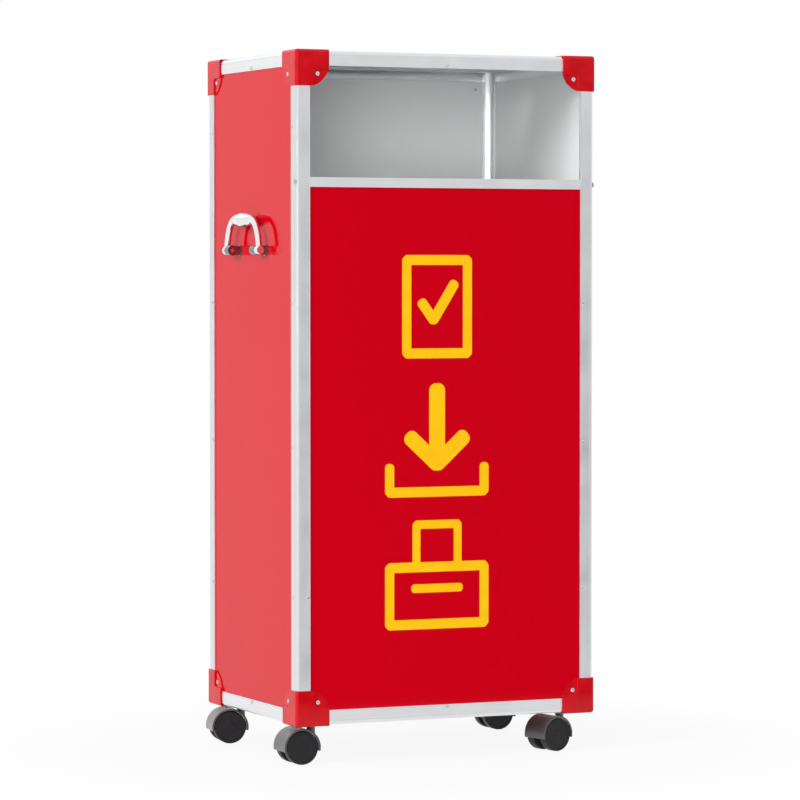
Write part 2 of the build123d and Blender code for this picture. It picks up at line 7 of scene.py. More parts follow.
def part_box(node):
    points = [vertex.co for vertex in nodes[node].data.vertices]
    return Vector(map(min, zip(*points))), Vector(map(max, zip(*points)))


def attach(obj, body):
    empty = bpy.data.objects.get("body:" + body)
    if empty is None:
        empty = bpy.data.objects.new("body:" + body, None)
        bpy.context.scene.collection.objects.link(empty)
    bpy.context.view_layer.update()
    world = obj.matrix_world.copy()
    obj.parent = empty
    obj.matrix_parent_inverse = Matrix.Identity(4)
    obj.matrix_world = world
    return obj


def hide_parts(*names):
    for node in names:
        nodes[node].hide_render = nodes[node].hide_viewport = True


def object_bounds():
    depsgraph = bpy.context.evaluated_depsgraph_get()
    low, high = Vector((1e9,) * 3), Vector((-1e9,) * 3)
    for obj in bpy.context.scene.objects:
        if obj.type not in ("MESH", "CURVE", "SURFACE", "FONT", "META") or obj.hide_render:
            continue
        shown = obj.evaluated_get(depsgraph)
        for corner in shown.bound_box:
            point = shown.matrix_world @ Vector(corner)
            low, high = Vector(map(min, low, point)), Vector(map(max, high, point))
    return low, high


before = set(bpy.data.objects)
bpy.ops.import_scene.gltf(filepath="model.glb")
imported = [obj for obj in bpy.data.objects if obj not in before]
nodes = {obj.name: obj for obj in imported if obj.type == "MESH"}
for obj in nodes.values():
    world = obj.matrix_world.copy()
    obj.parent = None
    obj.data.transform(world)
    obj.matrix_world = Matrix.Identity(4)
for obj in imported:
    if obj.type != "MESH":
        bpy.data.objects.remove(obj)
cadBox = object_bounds()
mm = 0.001
sceneData = bpy.context.scene
casterCorners = ("front_left", "front_right", "rear_left", "rear_right")


# Picking and shaping: angles are in degrees, and an edge that turns by more than sharpAngle is sharp

shaping = {"sharpAngle": 35.0, "smoothAngle": 40.0, "keepFlat": 80, "capNormal": 0.99}


def deselectAll():
    if bpy.context.mode != "OBJECT":
        bpy.ops.object.mode_set(mode="OBJECT")
    bpy.ops.object.select_all(action="DESELECT")


def activate(piece):
    deselectAll()
    piece.select_set(True)
    bpy.context.view_layer.objects.active = piece


def settle(piece):      # puts the place, turn and scale into the mesh
    activate(piece)
    bpy.ops.object.transform_apply(location=True, rotation=True, scale=True)


def addBlock(name, low, high):
    deselectAll()
    middle = [(a + b) / 2 for a, b in zip(low, high)]
    bpy.ops.mesh.primitive_cube_add(size=1, location=middle)
    piece = bpy.context.active_object
    piece.name = name
    piece.scale = [abs(b - a) for a, b in zip(low, high)]
    settle(piece)
    return piece


def addDisc(name, radius, base, tip, sides=32):     # a cylinder from base to tip
    deselectAll()
    start, end = Vector(base), Vector(tip)
    turn = (end - start).to_track_quat("Z", "Y").to_euler()
    bpy.ops.mesh.primitive_cylinder_add(vertices=sides, radius=radius, depth=(end - start).length,
                                        location=(start + end) / 2, rotation=turn)
    piece = bpy.context.active_object
    piece.name = name
    settle(piece)
    return piece


def pickFaces(piece, test):     # goes into edit mode with only those faces selected
    activate(piece)
    bpy.ops.object.mode_set(mode="EDIT")
    bpy.ops.mesh.select_mode(type="FACE")
    bpy.ops.mesh.select_all(action="DESELECT")
    mesh = bmesh.from_edit_mesh(piece.data)
    for face in mesh.faces:
        face.select_set(bool(test(face.calc_center_median(), face.normal)))
    mesh.select_flush_mode()
    bmesh.update_edit_mesh(piece.data)


def pickCap(piece):     # the top face of a disc that stands on its axis
    pickFaces(piece, lambda middle, normal: normal.z > shaping["capNormal"])


def pickEdges(piece, test, sharp=None):     # with sharp, only convex edges that turn by more than that angle
    activate(piece)
    bpy.ops.object.mode_set(mode="EDIT")
    bpy.ops.mesh.select_mode(type="EDGE")
    bpy.ops.mesh.select_all(action="DESELECT")
    mesh = bmesh.from_edit_mesh(piece.data)
    for edge in mesh.edges:
        crisp = sharp is None or (edge.is_convex and edge.calc_face_angle(0.0) > math.radians(sharp))
        edge.select_set(bool(crisp and test(edge.verts[0].co, edge.verts[1].co)))
    bmesh.update_edit_mesh(piece.data)


def leaveEdit():
    bpy.ops.object.mode_set(mode="OBJECT")


def stepsFrom(radius, steps):       # a turned profile: each step moves the cap and gives it a new radius
    for up, target in steps:
        share = target / radius
        bpy.ops.mesh.extrude_region_move(TRANSFORM_OT_translate={"value": (0, 0, up)})
        bpy.ops.transform.resize(value=(share, share, 1), center_override=(0, 0, 0))
        radius = target


def applyModifier(piece, kind, **settings):
    activate(piece)
    made = piece.modifiers.new(kind.title(), kind)
    for name, value in settings.items():
        setattr(made, name, value)
    bpy.ops.object.modifier_apply(modifier=made.name)


def merged(piece, other, operation):
    applyModifier(piece, "BOOLEAN", operation=operation, object=other, solver="EXACT")
    bpy.data.objects.remove(other)


def roundEdges(piece, width, segments, angle=shaping["sharpAngle"]):
    applyModifier(piece, "BEVEL", width=width, segments=segments, limit_method="ANGLE",
                  angle_limit=math.radians(angle), harden_normals=False)


def smooth(piece, angle=shaping["smoothAngle"]):        # within that angle, with the large faces kept flat
    activate(piece)
    bpy.ops.object.shade_smooth_by_angle(angle=math.radians(angle))
    applyModifier(piece, "WEIGHTED_NORMAL", keep_sharp=True, weight=shaping["keepFlat"])


def joined(name, pieces):
    activate(pieces[0])
    for piece in pieces[1:]:
        piece.select_set(True)
    bpy.ops.object.join()
    pieces[0].name = name
    return pieces[0]


def placedCopy(master, place):      # a copy with its own mesh, moved by a matrix
    made = master.copy()
    made.data = master.data.copy()
    sceneData.collection.objects.link(made)
    made.data.transform(place)
    return made


def facing(place, direction):       # local +Z turned to that direction, at that place
    turn = Vector(direction).to_track_quat("Z", "Y").to_matrix().to_4x4()
    return Matrix.Translation(place) @ turn


def scattered(name, master, places):     # copies of a master at those places, joined, and the master removed
    copies = [placedCopy(master, facing(place, direction)) for place, direction in places]
    bpy.data.objects.remove(master)
    return joined(name, copies)


def finishedPiece(piece, body, material, replaced=()):
    piece.data.materials.clear()
    piece.data.materials.append(material)
    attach(piece, body)
    if replaced:
        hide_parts(*replaced)


# Materials

def linear(hexColour):      # an sRGB hex value as linear red, green, blue, alpha
    values = [int(hexColour[i:i + 2], 16) / 255 for i in (1, 3, 5)]
    return [v / 12.92 if v <= 0.04045 else ((v + 0.055) / 1.055) ** 2.4 for v in values] + [1.0]


def perMetre(sizeMm):       # texture scale at which one feature is that many millimetres
    return 1000.0 / sizeMm


def addNode(tree, kind, settings=None, values=None, links=None):
    made = tree.nodes.new(kind)
    for name, value in (settings or {}).items():
        setattr(made, name, value)
    for name, value in (values or {}).items():
        made.inputs[name].default_value = value
    for name, source in (links or {}).items():
        tree.links.new(source, made.inputs[name])
    return made


def newMaterial(name):
    made = bpy.data.materials.new(name)
    made.use_nodes = True
    made.node_tree.nodes.clear()
    return made, made.node_tree


noise = {"grainDetail": 3.0, "cloudDetail": 2.0, "low": 0.3, "high": 0.7}       # it mostly stays between these

finishes = {
    # Each has a light and a dark colour that drift into each other over cloudMm, a fine grain of grainMm
    # that moves the colour by grainShare and lifts the surface by depthMm, and a range of roughness.
    # 6063 aluminium, extruded and clear anodised: a soft silver with faint die lines along its length
    "anodisedAluminium": {
        "light": "#f3f4f6", "dark": "#e6e8eb", "rough": (0.32, 0.42), "grainMm": 0.9, "cloudMm": 60.0,
        "grainShare": 0.65, "depthMm": 0.012,
        "shader": {"Metallic": 1.0, "Anisotropic": 0.8, "Anisotropic Rotation": 0.25}},
    # ABS, injection moulded in a polished mould: a saturated red with sharp bright edges
    "mouldedAbsRed": {
        "light": "#d00418", "dark": "#b8000e", "rough": (0.09, 0.15), "grainMm": 1.2, "cloudMm": 22.0,
        "grainShare": 0.2, "depthMm": 0.004, "shader": {"IOR": 1.53, "Specular IOR Level": 0.24}},
    # drawn 5052 aluminium, bare: the blind rivets are a little greyer and softer than the frame
    "drawnRivetAluminium": {
        "light": "#eceded", "dark": "#c4c7ca", "rough": (0.18, 0.30), "grainMm": 1.5, "cloudMm": 6.0,
        "grainShare": 0.5, "depthMm": 0.010, "shader": {"Metallic": 1.0}},
    # steel, bright zinc plated: a cool grey with the faint mottle of the bath
    "zincPlatedSteel": {
        "light": "#d3d6d8", "dark": "#bfc4c7", "rough": (0.25, 0.40), "grainMm": 1.0, "cloudMm": 4.0,
        "grainShare": 0.4, "depthMm": 0.010, "shader": {"Metallic": 1.0}},
    # zinc alloy, die cast, polished and chrome plated: a mirror with very slight waves left by the wheel
    "polishedChromePlate": {
        "light": "#f2f4f5", "dark": "#e6e9eb", "rough": (0.04, 0.09), "grainMm": 12.0, "cloudMm": 20.0,
        "grainShare": 0.3, "depthMm": 0.030, "shader": {"Metallic": 1.0}},
    # steel, turned and plated, its colour darkened as painted shade: the handle posts stay darker than the
    # bail that turns in them, standing in for the shade at their feet
    "postMetalPaintedShade": {
        "light": "#96999c", "dark": "#74777a", "rough": (0.12, 0.20), "grainMm": 0.6, "cloudMm": 5.0,
        "grainShare": 0.4, "depthMm": 0.006, "shader": {"Metallic": 1.0}},
    # polyamide, moulded with a fine spark-eroded grain: a black that turns grey where it faces the light
    "sparkGrainNylon": {
        "light": "#2a2a2d", "dark": "#1c1c1f", "rough": (0.32, 0.42), "grainMm": 0.8, "cloudMm": 9.0,
        "grainShare": 0.5, "depthMm": 0.020,
        "shader": {"IOR": 1.53, "Specular IOR Level": 1.0, "Sheen Weight": 0.7, "Sheen Roughness": 0.4}},
    # polyamide wheels, moulded smoother and a little deeper in colour
    "mouldedWheelNylon": {
        "light": "#201f22", "dark": "#171618", "rough": (0.40, 0.52), "grainMm": 0.8, "cloudMm": 12.0,
        "grainShare": 0.5, "depthMm": 0.020, "shader": {"IOR": 1.53, "Specular IOR Level": 0.25}},
    # calendered vinyl film, cut and stuck on: a flat warm yellow with a slight satin
    "cutVinylYellow": {
        "light": "#ffc600", "dark": "#fabc00", "rough": (0.30, 0.38), "grainMm": 2.0, "cloudMm": 30.0,
        "grainShare": 0.2, "depthMm": 0.004, "shader": {"IOR": 1.5, "Specular IOR Level": 0.25}},
}


def grainedFinish(name, variant="", stretch=(1.0, 1.0, 1.0)):
    look = finishes[name]
    made, tree = newMaterial(name + variant)
    place = addNode(tree, "ShaderNodeTexCoord").outputs["Object"]
    along = addNode(tree, "ShaderNodeMapping", values={"Scale": stretch}, links={"Vector": place})
    grain = addNode(tree, "ShaderNodeTexNoise", values={
        "Scale": perMetre(look["grainMm"]), "Detail": noise["grainDetail"]}, links={
            "Vector": along.outputs[0]}).outputs["Fac"]
    cloud = addNode(tree, "ShaderNodeTexNoise", values={
        "Scale": perMetre(look["cloudMm"]), "Detail": noise["cloudDetail"]}, links={
            "Vector": place}).outputs["Fac"]
    drift = addNode(tree, "ShaderNodeMix", {"data_type": "FLOAT"}, {"Factor": look["grainShare"]},
                    {"A": cloud, "B": grain}).outputs["Result"]
    span = {"From Min": noise["low"], "From Max": noise["high"]}
    mixed = addNode(tree, "ShaderNodeMapRange", values=span, links={"Value": drift})
    colour = addNode(tree, "ShaderNodeMix", {"data_type": "RGBA"}, {
        "A": linear(look["dark"]), "B": linear(look["light"])}, {"Factor": mixed.outputs[0]})
    least, most = look["rough"]
    rough = addNode(tree, "ShaderNodeMapRange", values={**span, "To Min": least, "To Max": most},
                    links={"Value": cloud})
    bump = addNode(tree, "ShaderNodeBump", values={"Distance": look["depthMm"] * mm}, links={"Height": grain})
    shader = addNode(tree, "ShaderNodeBsdfPrincipled", values=look["shader"], links={
        "Base Color": colour.outputs["Result"], "Roughness": rough.outputs[0], "Normal": bump.outputs[0]})
    if min(stretch) < 1.0:      # the highlight of a drawn surface spreads across its lines
        lines = addNode(tree, "ShaderNodeCombineXYZ", values={
            axis: float(share < 1.0) for axis, share in zip("XYZ", stretch)})
        tree.links.new(lines.outputs[0], shader.inputs["Tangent"])
    addNode(tree, "ShaderNodeOutputMaterial", links={"Surface": shader.outputs[0]})
    return made


panelCoat = {"outer": "#ca0018", "outerDeep": "#c60016", "inner": "#fbfbfb", "core": "#2a2a2c",
             "skinMm": 0.35, "specular": 0.16, "rough": 0.07, "innerRough": 0.5, "peelMm": 9.0,
             "peelDetail": 1.0, "peelDepthMm": 0.005}


def coatedPanel():
    # aluminium composite sheet: a gloss polyester paint outside, a white service coat inside, and the
    # dark polyethylene core where the sheet is cut
    coat = panelCoat
    made, tree = newMaterial("glossCoatedComposite")
    place = addNode(tree, "ShaderNodeTexCoord").outputs["Object"]
    apart = addNode(tree, "ShaderNodeSeparateXYZ", links={"Vector": place})
    front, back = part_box("front_panel")[0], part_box("rear_panel")[1]
    spans = ((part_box("left_panel")[0].x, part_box("right_panel")[1].x), (front.y, back.y),
             (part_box("base_panel")[0].z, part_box("top_panel")[1].z))
    depth = None
    for axis, (start, end) in enumerate(spans):     # how far a point lies inside the outer faces
        centred = addNode(tree, "ShaderNodeMath", {"operation": "SUBTRACT"}, {1: (start + end) / 2},
                          {0: apart.outputs[axis]})
        size = addNode(tree, "ShaderNodeMath", {"operation": "ABSOLUTE"}, links={0: centred.outputs[0]})
        inside = addNode(tree, "ShaderNodeMath", {"operation": "SUBTRACT"}, {0: (end - start) / 2},
                         {1: size.outputs[0]}).outputs[0]
        if depth is None:
            depth = inside
        else:
            depth = addNode(tree, "ShaderNodeMath", {"operation": "MINIMUM"},
                            links={0: depth, 1: inside}).outputs[0]
    skin, sheet = coat["skinMm"] * mm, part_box("front_panel")[1].y - front.y
    pastSkin = addNode(tree, "ShaderNodeMath", {"operation": "GREATER_THAN"}, {1: skin},
                       {0: depth}).outputs[0]
    pastCore = addNode(tree, "ShaderNodeMath", {"operation": "GREATER_THAN"}, {1: sheet - skin},
                       {0: depth}).outputs[0]
    peel = addNode(tree, "ShaderNodeTexNoise", values={
        "Scale": perMetre(coat["peelMm"]), "Detail": coat["peelDetail"]}, links={
            "Vector": place}).outputs["Fac"]
    paint = addNode(tree, "ShaderNodeMix", {"data_type": "RGBA"}, {
        "A": linear(coat["outerDeep"]), "B": linear(coat["outer"])}, {"Factor": peel})
    cut = addNode(tree, "ShaderNodeMix", {"data_type": "RGBA"}, {"B": linear(coat["core"])},
                  {"Factor": pastSkin, "A": paint.outputs["Result"]})
    colour = addNode(tree, "ShaderNodeMix", {"data_type": "RGBA"}, {"B": linear(coat["inner"])},
                     {"Factor": pastCore, "A": cut.outputs["Result"]})
    rough = addNode(tree, "ShaderNodeMapRange", values={"To Min": coat["rough"], "To Max": coat["innerRough"]},
                    links={"Value": pastCore})
    bump = addNode(tree, "ShaderNodeBump", values={"Distance": coat["peelDepthMm"] * mm},
                   links={"Height": peel})
    shader = addNode(tree, "ShaderNodeBsdfPrincipled", values={"Specular IOR Level": coat["specular"]}, links={
        "Base Color": colour.outputs["Result"], "Roughness": rough.outputs[0], "Normal": bump.outputs[0]})
    addNode(tree, "ShaderNodeOutputMaterial", links={"Surface": shader.outputs[0]})
    return made


acrylic = {"tint": "#fcfdfd", "rough": (0.0, 0.02), "cloudMm": 50.0, "ior": 1.49}


def clearAcrylic():
    # cast acrylic sheet: clear with polished faces, and light passes on into the box behind it
    made, tree = newMaterial("castAcrylicClear")
    tint = linear(acrylic["tint"])
    least, most = acrylic["rough"]
    place = addNode(tree, "ShaderNodeTexCoord").outputs["Object"]
    cloud = addNode(tree, "ShaderNodeTexNoise", values={"Scale": perMetre(acrylic["cloudMm"])},
                    links={"Vector": place})
    rough = addNode(tree, "ShaderNodeMapRange", values={"To Min": least, "To Max": most},
                    links={"Value": cloud.outputs["Fac"]})
    shader = addNode(tree, "ShaderNodeBsdfPrincipled", values={
        "Base Color": tint, "IOR": acrylic["ior"], "Transmission Weight": 1.0}, links={
            "Roughness": rough.outputs[0]})
    clear = addNode(tree, "ShaderNodeBsdfTransparent", values={"Color": tint})
    path = addNode(tree, "ShaderNodeLightPath")
    passing = addNode(tree, "ShaderNodeMath", {"operation": "MAXIMUM"}, links={
        0: path.outputs["Is Shadow Ray"], 1: path.outputs["Is Diffuse Ray"]})
    both = addNode(tree, "ShaderNodeMixShader", links={
        "Fac": passing.outputs[0], 1: shader.outputs[0], 2: clear.outputs[0]})
    addNode(tree, "ShaderNodeOutputMaterial", links={"Surface": both.outputs[0]})
    return made


dieLines = 0.004        # how far the extrusion's grain is drawn out along a bar
aluminium = {"x": grainedFinish("anodisedAluminium", "Across", (dieLines, 1.0, 1.0)),
             "y": grainedFinish("anodisedAluminium", "Deep", (1.0, dieLines, 1.0)),
             "z": grainedFinish("anodisedAluminium", "Upright", (1.0, 1.0, dieLines))}
panelFinish = coatedPanel()
windowFinish = clearAcrylic()
cornerFinish = grainedFinish("mouldedAbsRed")
rivetFinish = grainedFinish("drawnRivetAluminium")
zincFinish = grainedFinish("zincPlatedSteel")
chromeFinish = grainedFinish("polishedChromePlate")
# the handle posts' darker metal is painted shade
postShadeFinish = grainedFinish("postMetalPaintedShade")
hoodFinish = grainedFinish("sparkGrainNylon")
wheelFinish = grainedFinish("mouldedWheelNylon")
vinylFinish = grainedFinish("cutVinylYellow")
print("materials made")


def nodeFinish(nodeName):       # the finish of a node that stays as it is, or of the copy that replaces it
    if nodeName.endswith("_panel"):
        return panelFinish
    if nodeName == "window_pane":
        return windowFinish
    if nodeName.startswith("corner_"):
        return cornerFinish
    if nodeName.startswith("post_") or nodeName == "door_edging":
        return aluminium["z"]
    if nodeName in ("rail_top_left", "rail_top_right", "rail_bottom_left", "rail_bottom_right"):
        return aluminium["y"]
    if nodeName.startswith("rail_") or nodeName == "crossbar":
        return aluminium["x"]
    if nodeName.startswith("wheel_"):
        return wheelFinish
    if nodeName.startswith("caster_fork"):
        return hoodFinish
    # the posts take the metal whose darker colour is painted shade
    if nodeName == "handle_posts":
        return postShadeFinish
    if nodeName.startswith("handle_") or nodeName in ("lock_body", "lock_plug"):
        return chromeFinish
    if nodeName == "blind_rivets":
        return rivetFinish
    return zincFinish


for nodeName in nodes:
    nodes[nodeName].data.materials.clear()
    nodes[nodeName].data.materials.append(nodeFinish(nodeName))
print("nodes dressed")


# Machined and moulded pieces: a copy of the CAD shape with its sharp edges broken as the real ones are

breaking = {"mergeGap": 0.01 * mm, "flatAngle": 1.0,       # these turn the loose triangles back into faces
            "longEdge": 20.0 * mm,      # shorter edges of a bar are those of its holes
            "onFace": 0.2 * mm}         # an edge that lies this close to a face is in it


def longEdges(nodeName):
    return lambda a, b: (a - b).length > breaking["longEdge"]


def outerEdges(nodeName):       # those in the three faces that a corner protector turns outwards
    middle = (cadBox[0] + cadBox[1]) / 2
    low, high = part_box(nodeName)
    faces = [end if end + start > 2 * centre else start for start, end, centre in zip(low, high, middle)]
    near = breaking["onFace"]
    return lambda a, b: any(max(abs(a[i] - faces[i]), abs(b[i] - faces[i])) < near for i in range(3))


def brokenEdges(nodeName, width, segments, chosen):
    made = bpy.data.objects.new("finished_" + nodeName, nodes[nodeName].data.copy())
    sceneData.collection.objects.link(made)
    activate(made)
    bpy.ops.object.mode_set(mode="EDIT")
    bpy.ops.mesh.select_all(action="SELECT")
    bpy.ops.mesh.remove_doubles(threshold=breaking["mergeGap"])
    bpy.ops.mesh.dissolve_limited(angle_limit=math.radians(breaking["flatAngle"]))
    leaveEdit()
    if chosen is None:
        roundEdges(made, width, segments)
    else:
        pickEdges(made, chosen(nodeName), shaping["sharpAngle"])
        bpy.ops.mesh.bevel(offset=width, segments=segments, affect="EDGES")
        leaveEdit()
    smooth(made)
    return made


# by the start of the nodes' names: body, slot, rounding, its segments, and which sharp edges (None: all)
framePiece = ("cabinet", "frame_aluminium", 0.3 * mm, 2, longEdges)
brokenPieces = {
    "corner_": ("cabinet", "corner_plastic", 0.7 * mm, 3, outerEdges),
    "post_": framePiece,
    "rail_": framePiece,
    "crossbar": framePiece,
    "door_edging": ("door", "frame_aluminium", 0.3 * mm, 2, longEdges),
    "hinge_frame_leaves": ("cabinet", "zinc_steel", 0.25 * mm, 2, None),
    "hinge_door_leaves": ("door", "zinc_steel", 0.25 * mm, 2, None),
    "lock_body": ("door", "bright_chrome", 0.3 * mm, 2, None),
    "lock_plug": ("lock_core", "bright_chrome", 0.15 * mm, 2, None),
    "lock_cam": ("lock_core", "zinc_steel", 0.25 * mm, 2, None),
    "handle_posts": ("cabinet", "bright_chrome", 0.4 * mm, 2, None),
}
for corner in casterCorners:
    brokenPieces["caster_fork_" + corner] = ("fork_" + corner, "black_nylon", 0.6 * mm, 3, None)

madeAnew = ("crossbar_screws",)     # its name starts like the crossbar's, but it is modelled below
for start, (body, slotName, width, segments, chosen) in brokenPieces.items():
    for nodeName in [name for name in nodes if name.startswith(start) and name not in madeAnew]:
        piece = brokenEdges(nodeName, width, segments, chosen)
        finishedPiece(piece, body, nodeFinish(nodeName), [nodeName])
print("edges broken")


# Blind rivets: a domed head with the broken mandrel deep in its hole

rivetShape = {"shank": 1.9 * mm, "grip": 5.7 * mm, "head": 3.3 * mm, "rim": 0.4 * mm, "height": 1.2 * mm,
              "hole": 1.0 * mm, "holeDepth": 1.0 * mm, "holeTaper": 0.9, "sides": 24, "smoothAngle": 50.0,
              # the dome above its rim: shares of the head's height and radius
              "dome": ((0.72, 0.86), (0.93, 0.66), (1.0, 0.46)),
              # in the protectors: from the frame's outer faces, and how deep the head sits
              "inset": 34.0 * mm, "seat": 0.4 * mm,
              # in the bars: from the frame's outer edge, and up a post from its foot
              "edge": 18.0 * mm, "levels": (190.0 * mm, 413.0 * mm, 626.0 * mm, 888.0 * mm)}


def rivetMaster():
    shape = rivetShape
    head, hole, reached = shape["head"], shape["hole"], shape["rim"]
    master = addDisc("rivet", shape["shank"], (0, 0, -shape["grip"]), (0, 0, 0), shape["sides"])
    steps = [(0, head), (reached, head)]
    for rise, share in shape["dome"]:
        steps.append((rise * shape["height"] - reached, share * head))
        reached = rise * shape["height"]
    pickCap(master)
    stepsFrom(shape["shank"], steps + [(0, hole), (-shape["holeDepth"], shape["holeTaper"] * hole)])
    leaveEdit()
    smooth(master, shape["smoothAngle"])
    return master


def rivetPlaces():
    low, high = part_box("post_front_left")[0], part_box("post_rear_right")[1]
    inset, seat, edge, levels = (rivetShape[name] for name in ("inset", "seat", "edge", "levels"))
    places = []
    for side, x in ((-1, low.x), (1, high.x)):
        for end, y in ((-1, low.y), (1, high.y)):
            insetX, insetY = x - side * inset, y - end * inset
            places.append(((insetX, insetY, high.z - seat), (0, 0, 1)))
            for level in (low.z + inset, high.z - inset):
                places.append(((insetX, y - end * seat, level), (0, end, 0)))
                places.append(((x - side * seat, insetY, level), (side, 0, 0)))
            for level in levels:
                places.append(((x, y - end * edge, low.z + level), (side, 0, 0)))
        for level in (low.z + edge, high.z - edge):
            places.append(((x, 0, level), (side, 0, 0)))
    for x, shown in ((low.x + edge, levels[:1]), (high.x - edge, levels[:3])):      # on the front
        places += [((x, low.y, low.z + level), (0, -1, 0)) for level in shown]
    for level in (low.z + edge, high.z - edge):
        places.append(((0, low.y, level), (0, -1, 0)))
    return places


rivets = scattered("set_blind_rivets", rivetMaster(), rivetPlaces())
finishedPiece(rivets, "cabinet", rivetFinish, ["blind_rivets"])
print("rivets set")


# Pan head screws with a cross recess, in the crossbar's ends and in the hinge leaves

screwShapes = {
    "crossbar": {"head": 3.6 * mm, "height": 1.6 * mm, "shank": 1.75 * mm, "length": 24.0 * mm},
    "leaf": {"head": 2.6 * mm, "height": 0.9 * mm, "shank": 1.3 * mm, "length": 1.4 * mm, "inset": 6.5 * mm,
             "spread": 12.0 * mm, "spacing": 170.0 * mm, "thickness": 1.5 * mm},
    # of every head: each step's share of its height and radius, and the recess's shares of both
    "form": {"sides": 28, "steps": ((0.45, 1.0), (0.35, 0.9), (0.20, 0.7)),
             "long": 0.62, "wide": 0.17, "deep": 0.55},
}


def screwMaster(shape):
    head, height, form = shape["head"], shape["height"], screwShapes["form"]
    master = addDisc("screw", shape["shank"], (0, 0, -shape["length"]), (0, 0, 0), form["sides"])
    pickCap(master)
    stepsFrom(shape["shank"], [(0, head)] + [(rise * height, share * head) for rise, share in form["steps"]])
    leaveEdit()
    long, wide = form["long"] * head, form["wide"] * head
    floor, over = height * (1 - form["deep"]), 2 * height
    cross = addBlock("crossA", (-long, -wide, floor), (long, wide, over))
    merged(cross, addBlock("crossB", (-wide, -long, floor), (wide, long, over)), "UNION")
    merged(master, cross, "DIFFERENCE")
    smooth(master)
    return master


def addCrossbarScrews():
    low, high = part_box("crossbar_screws")
    y, z = (low.y + high.y) / 2, (low.z + high.z) / 2
    shape = screwShapes["crossbar"]
    places = [((side * (high.x - shape["height"]), y, z), (side, 0, 0)) for side in (-1, 1)]
    screws = scattered("driven_crossbar_screws", screwMaster(shape), places)
    finishedPiece(screws, "cabinet", zincFinish, ["crossbar_screws"])


def addLeafScrews(nodeName, name, body, side):      # two in each of the three leaves
    low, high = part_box(nodeName)
    shape = screwShapes["leaf"]
    x = (high.x if side > 0 else low.x) - side * shape["inset"]
    y, middle = low.y + shape["thickness"], (low.z + high.z) / 2
    places = [((x, y, middle + step * shape["spacing"] + way * shape["spread"]), (0, 1, 0))
              for step in (-1, 0, 1) for way in (-1, 1)]
    screws = scattered(name, screwMaster(shape), places)
    finishedPiece(screws, body, zincFinish)


addCrossbarScrews()
addLeafScrews("hinge_frame_leaves", "frame_leaf_screws", "cabinet", 1)
addLeafScrews("hinge_door_leaves", "door_leaf_screws", "door", -1)
print("screws driven")


# Bail handles: one cast bar that swells into the grip, with a boss and a pin at each foot

bailShape = {"pivotUp": 766.0 * mm, "standOff": 258.5 * mm, "bar": 4.75 * mm, "barResolution": 9,
             "lengthResolution": 10, "bossRadius": 7.0 * mm, "bossInner": 59.25 * mm, "bossOuter": 70.75 * mm,
             "bossRound": 1.6 * mm, "bossSides": 48, "bossSegments": 4, "pinRadius": 3.0 * mm,
             "pinTip": 44.0 * mm, "smoothAngle": 45.0,
             # reach along the side, rise above the pivot, and radius, in mm, from a foot to the grip's middle
             "half": ((66.0, 0.0, 4.75), (60.0, 24.0, 4.75), (50.5, 38.2, 4.85), (38.0, 45.6, 5.6),
                      (21.0, 46.4, 9.2)), "middle": (0.0, 46.0, 11.5)}


def bailBar():
    half = list(bailShape["half"])
    points = half + [bailShape["middle"]] + [(-reach, rise, radius) for reach, rise, radius in reversed(half)]
    deselectAll()
    bpy.ops.curve.primitive_bezier_curve_add()
    line = bpy.context.active_object
    spline = line.data.splines[0]
    spline.bezier_points.add(len(points) - 2)       # a new curve has two
    for knot, (reach, rise, radius) in zip(spline.bezier_points, points):
        knot.co = (0, reach * mm, rise * mm)
        knot.radius = radius * mm / bailShape["bar"]
        knot.handle_left_type = knot.handle_right_type = "AUTO"
    line.data.bevel_depth = bailShape["bar"]
    line.data.bevel_resolution = bailShape["barResolution"]
    line.data.resolution_u = bailShape["lengthResolution"]
    line.data.use_fill_caps = True
    bpy.ops.object.convert(target="MESH")
    return bpy.context.active_object


def addBail(side, name, body, nodeName):
    shape = bailShape
    parts = [bailBar()]
    for way in (-1, 1):
        inner, outer = (0, way * shape["bossInner"], 0), (0, way * shape["bossOuter"], 0)
        boss = addDisc("boss", shape["bossRadius"], inner, outer, shape["bossSides"])
        roundEdges(boss, shape["bossRound"], shape["bossSegments"])
        parts.append(boss)
        parts.append(addDisc("pin", shape["pinRadius"], (0, way * shape["pinTip"], 0), inner))
    bail = joined(name, parts)
    settle(bail)
    smooth(bail, shape["smoothAngle"])
    bail.data.transform(Matrix.Translation((side * shape["standOff"], 0, shape["pivotUp"])))
    finishedPiece(bail, body, chromeFinish, [nodeName])


addBail(-1, "cast_bail_left", "handle_left", "handle_bail_left")
addBail(1, "cast_bail_right", "handle_right", "handle_bail_right")
print("handles cast")


# Caster wheels: a rounded tread, a dished outer face with a hub cap, and a hollow back with its hub

wheelShape = {"radius": 25.0 * mm, "width": 14.8 * mm, "sides": 72, "treadRound": 1.5 * mm, "treadSegments": 4,
              "slope": 0.4 * mm, "rim": 21.2 * mm, "dish": 1.1 * mm, "cap": 7.6 * mm, "capRise": 0.8 * mm,
              "backRim": 19.5 * mm, "backDepth": 7.0 * mm, "hub": 7.0 * mm, "bore": 3.05 * mm,
              "boreDepth": 10.4 * mm, "edgeRound": 0.35 * mm, "edgeSegments": 2, "edgeAngle": 50.0}


